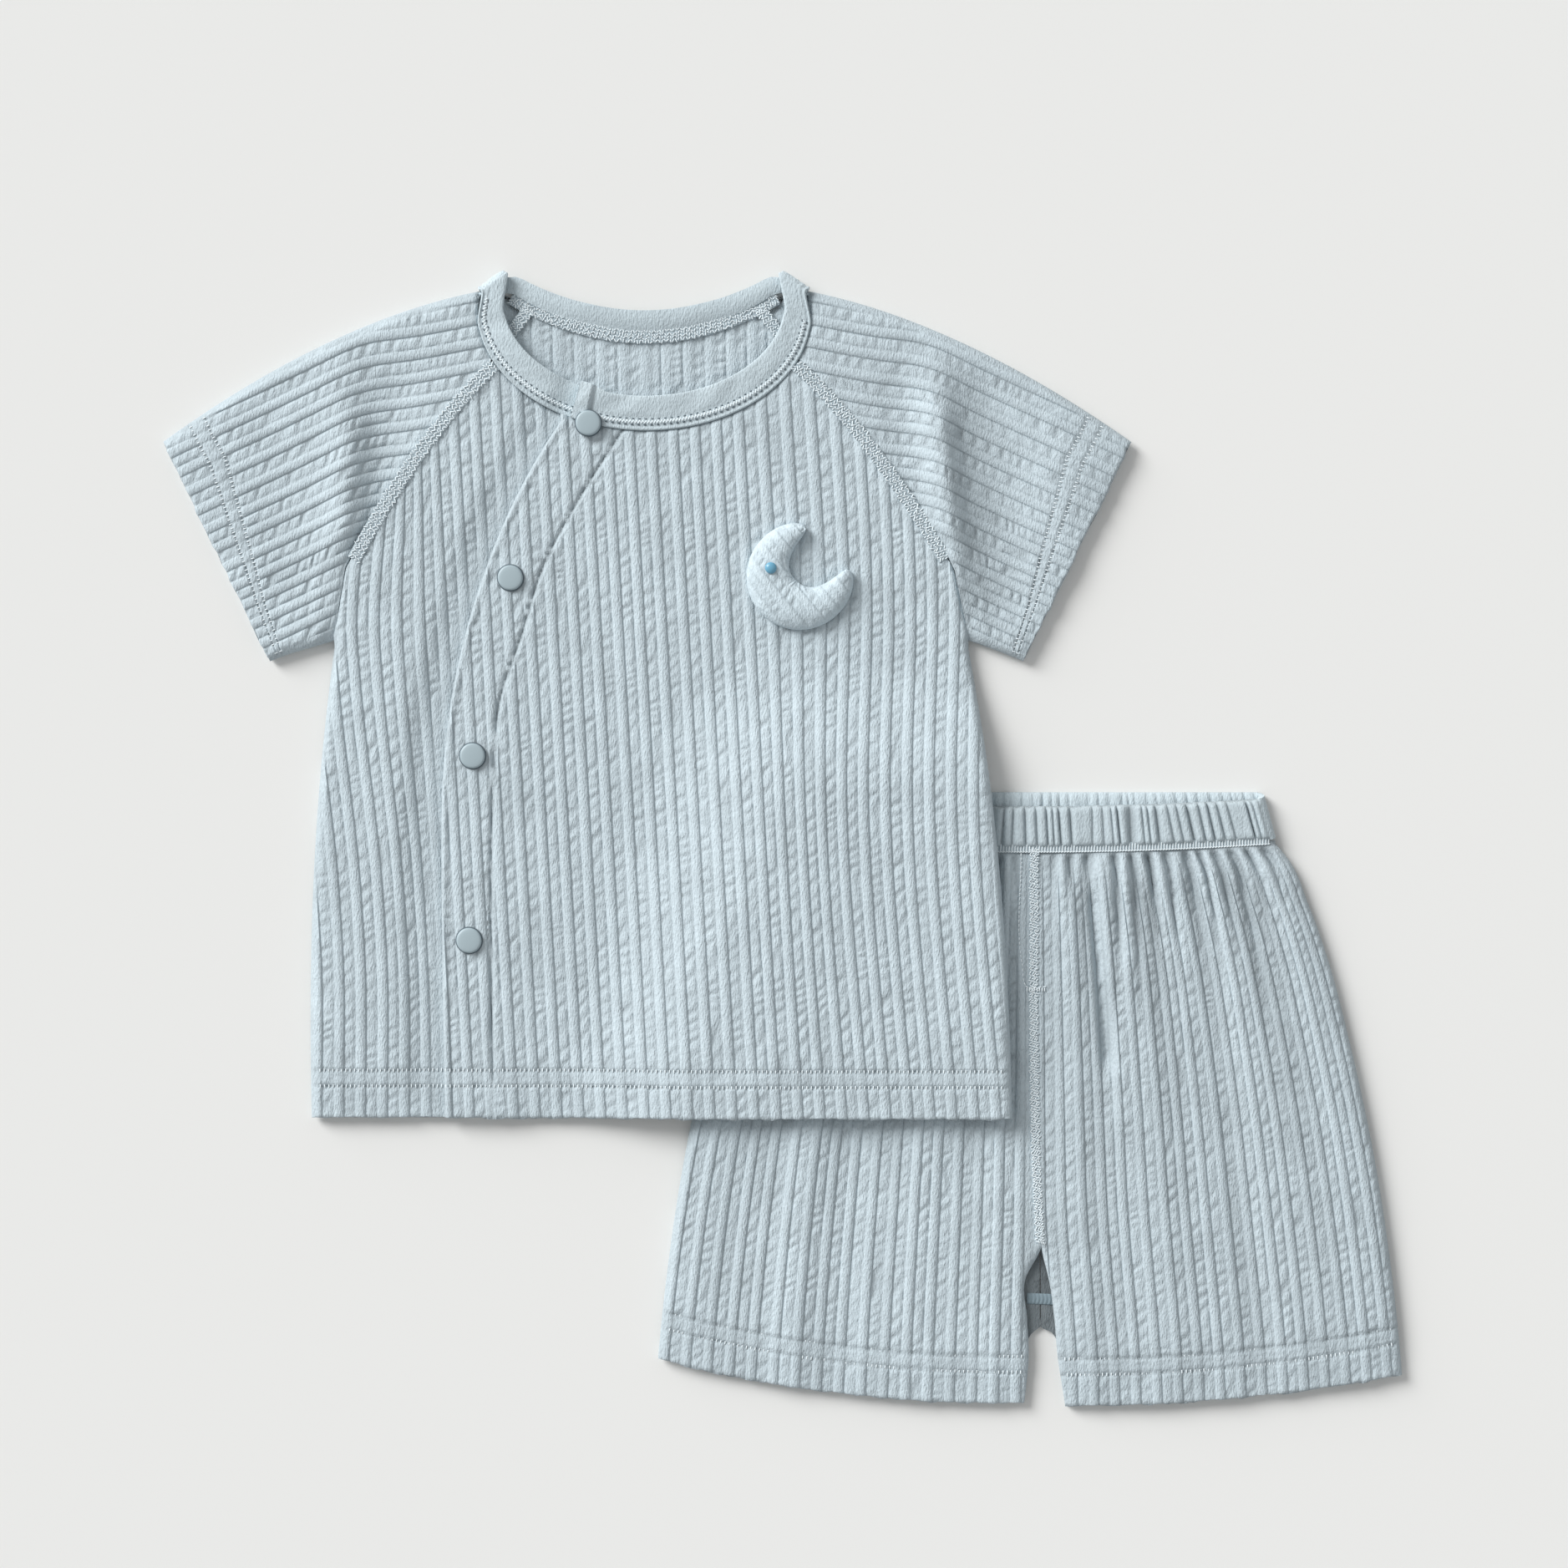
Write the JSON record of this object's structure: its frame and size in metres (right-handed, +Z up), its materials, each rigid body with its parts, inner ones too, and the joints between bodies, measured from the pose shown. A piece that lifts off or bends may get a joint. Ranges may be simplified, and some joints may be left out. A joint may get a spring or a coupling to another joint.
{
  "type": "top and trousers set",
  "caption": "Baby set laid flat: a short-sleeved side-snapping wrap top in pale blue puckered knit, with a padded crescent moon, lying over gathered shorts.",
  "frame": {"origin": "centre of the set's bounding box, on the surface that it lies on", "axes": "+Z up from that surface, +Y towards the neck and the waist, +X to the viewer's right, which is the wearer's left"},
  "size_m": [0.4934, 0.4519, 0.0153],
  "materials": {
    "puckered_knit": "ribbed puckered cotton knit, matte",
    "neckband_knit": "plain cotton jersey, matte",
    "snap_cap": "satin moulded plastic",
    "blue_bead": "smooth glossy bead"
  },
  "bodies": {
    "root": {"top_back": "puckered_knit", "front_right": "puckered_knit", "front_left": "puckered_knit", "sleeve_right": "puckered_knit", "sleeve_left": "puckered_knit", "moon": "puckered_knit", "shorts_back_left": "puckered_knit", "shorts_back_right": "puckered_knit", "shorts_front_left": "puckered_knit", "shorts_front_right": "puckered_knit", "waistband": "puckered_knit", "neckband": "neckband_knit", "snap_neck": "snap_cap", "snap_chest": "snap_cap", "snap_waist": "snap_cap", "snap_hem": "snap_cap", "moon_dot": "blue_bead"}
  },
  "joints": []
}
